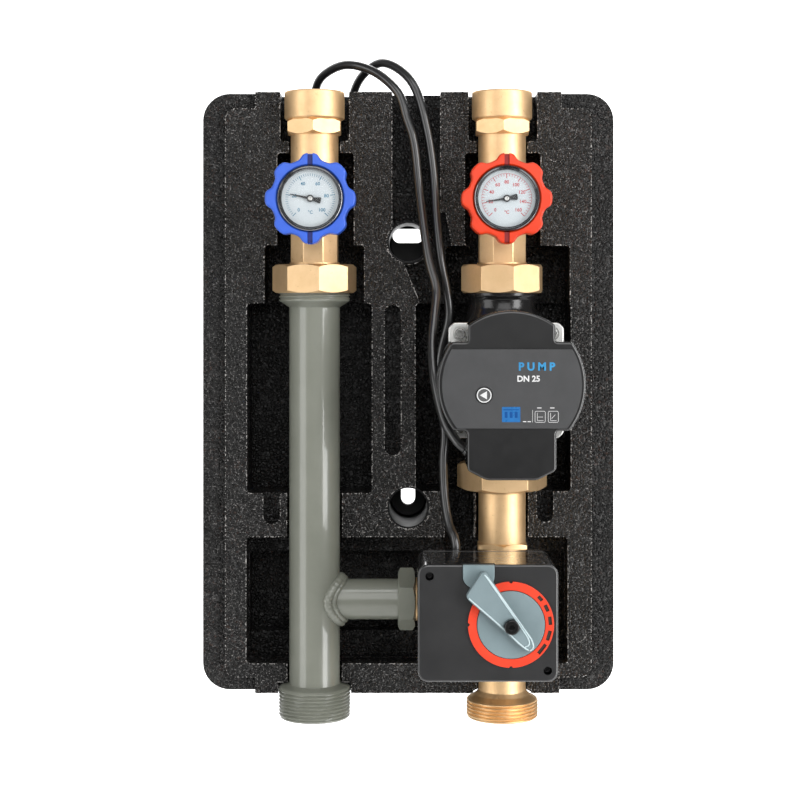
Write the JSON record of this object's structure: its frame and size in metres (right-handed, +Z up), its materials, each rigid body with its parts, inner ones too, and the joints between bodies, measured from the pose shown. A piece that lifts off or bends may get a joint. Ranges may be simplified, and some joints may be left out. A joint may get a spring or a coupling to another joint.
{
  "type": "underfloor heating pump and mixing group",
  "caption": "Wall-mounted pump and mixing group: two ball valves with dial thermometers, circulator, actuated mixing valve and return pipe in a moulded foam back shell.",
  "frame": {"origin": "on the shell's flat back, in the middle between the two pipe columns, 200 mm above its foot", "axes": "+Z up along the pipes, -Y out of the wall towards the user, +X to the right seen from the front"},
  "size_m": [0.275, 0.1671, 0.4419],
  "materials": {
    "foam": "matte, speckled beads",
    "mount_plastic": "glossy",
    "brass": "satin",
    "ptfe": "satin",
    "chrome": "polished",
    "blue_plastic": "semi-gloss",
    "red_plastic": "semi-gloss",
    "dial_white": "printed",
    "clear_glass": "clear",
    "pointer_black": "satin",
    "grey_paint": "satin",
    "black_cast_iron": "glossy coat on cast iron",
    "stainless": "polished",
    "screw_steel": "bright",
    "copper_winding": "lacquered copper and laminations",
    "black_plastic": "satin",
    "label_foil": "satin film",
    "button_grey": "satin",
    "grey_blue_plastic": "satin",
    "scale_red": "satin",
    "gear_white": "satin",
    "black_cable": "satin"
  },
  "bodies": {
    "assembly": {"actuator_base": "black_plastic", "actuator_cable": "black_cable", "actuator_cable_gland": "black_cable", "actuator_cable_hank": "black_cable", "actuator_cover": "black_plastic", "branch_union_nut": "brass", "control_label": "label_foil", "drive_motor": "screw_steel", "lower_wall_mount_cup": "mount_plastic", "mixing_valve_body": "brass", "mixing_valve_cover": "brass", "motor_housing": "stainless", "motor_stator": "copper_winding", "pump_cable": "black_cable", "pump_cable_gland": "black_cable", "pump_cable_hank": "black_cable", "pump_head_cover": "black_plastic", "pump_housing": "black_cast_iron", "pump_screw_lower_left": "screw_steel", "pump_screw_lower_right": "screw_steel", "pump_screw_upper_left": "screw_steel", "pump_screw_upper_right": "screw_steel", "pump_union_nut": "brass", "rear_insulation_shell": "foam", "red_scale_ring": "scale_red", "return_lower_ball_seat": "ptfe", "return_pipe": "grey_paint", "return_union_nut": "brass", "return_upper_ball_seat": "ptfe", "return_valve_body": "brass", "return_valve_tailpiece": "brass", "supply_lower_ball_seat": "ptfe", "supply_union_nut": "brass", "supply_upper_ball_seat": "ptfe", "supply_valve_body": "brass", "supply_valve_tailpiece": "brass", "upper_wall_mount_cup": "mount_plastic"},
    "return_valve": {"return_valve_ball": "chrome", "return_valve_stem": "brass", "return_valve_handle": "blue_plastic", "return_thermometer_case": "chrome", "return_thermometer_dial": "dial_white", "return_thermometer_glass": "clear_glass"},
    "supply_valve": {"supply_valve_ball": "chrome", "supply_valve_stem": "brass", "supply_valve_handle": "red_plastic", "supply_thermometer_case": "chrome", "supply_thermometer_dial": "dial_white", "supply_thermometer_glass": "clear_glass"},
    "return_pointer": {"return_thermometer_pointer": "pointer_black"},
    "supply_pointer": {"supply_thermometer_pointer": "pointer_black"},
    "pump_rotating_part": {"pump_rotor": "stainless", "pump_impeller": "black_plastic"},
    "mode_button": {"mode_button": "button_grey"},
    "mixing_lever": {"mixing_rotor": "brass", "output_gear": "gear_white", "mixing_lever_knob": "grey_blue_plastic", "knob_screw": "screw_steel"},
    "drive_pinion": {"drive_pinion": "gear_white"},
    "release_button": {"release_button": "grey_blue_plastic"}
  },
  "joints": [
    {"name": "return_valve_turn", "type": "hinge", "parent": "assembly", "child": "return_valve", "pos_m": [-0.0625, -0.062, 0.126], "axis": [0, 1, 0], "range_deg": [0, 90]},
    {"name": "supply_valve_turn", "type": "hinge", "parent": "assembly", "child": "supply_valve", "pos_m": [0.0625, -0.062, 0.126], "axis": [0, 1, 0], "range_deg": [0, 90]},
    {"name": "return_pointer_turn", "type": "hinge", "parent": "return_valve", "child": "return_pointer", "pos_m": [-0.0625, -0.062, 0.126], "axis": [0, 1, 0], "range_deg": [-57, 213], "stiffness_Nm_per_rad": 0.0005},
    {"name": "supply_pointer_turn", "type": "hinge", "parent": "supply_valve", "child": "supply_pointer", "pos_m": [0.0625, -0.062, 0.126], "axis": [0, 1, 0], "range_deg": [-36, 234], "stiffness_Nm_per_rad": 0.0005},
    {"name": "pump_spin", "type": "hinge", "parent": "assembly", "child": "pump_rotating_part", "pos_m": [0.0625, -0.062, 0.01], "axis": [0, 1, 0], "continuous": true},
    {"name": "mode_button_press", "type": "slide", "parent": "assembly", "child": "mode_button", "axis": [0, 1, 0], "range_m": [0, 0.0008], "stiffness_N_per_m": 2000, "springref_m": -0.0004},
    {"name": "mixing_lever_turn", "type": "hinge", "parent": "assembly", "child": "mixing_lever", "pos_m": [0.0625, -0.062, -0.137], "axis": [0, -1, 0], "range_deg": [0, 90]},
    {"name": "drive_pinion_turn", "type": "hinge", "parent": "assembly", "child": "drive_pinion", "pos_m": [0.04425, -0.062, -0.137], "axis": [0, -1, 0], "range_deg": [-360, 0]},
    {"name": "release_button_press", "type": "slide", "parent": "assembly", "child": "release_button", "axis": [0, 1, 0], "range_m": [0, 0.0025], "stiffness_N_per_m": 1200, "springref_m": -0.001}
  ],
  "couplings": [
    {"joint": "drive_pinion_turn", "follows": "mixing_lever_turn", "ratio": -4}
  ]
}
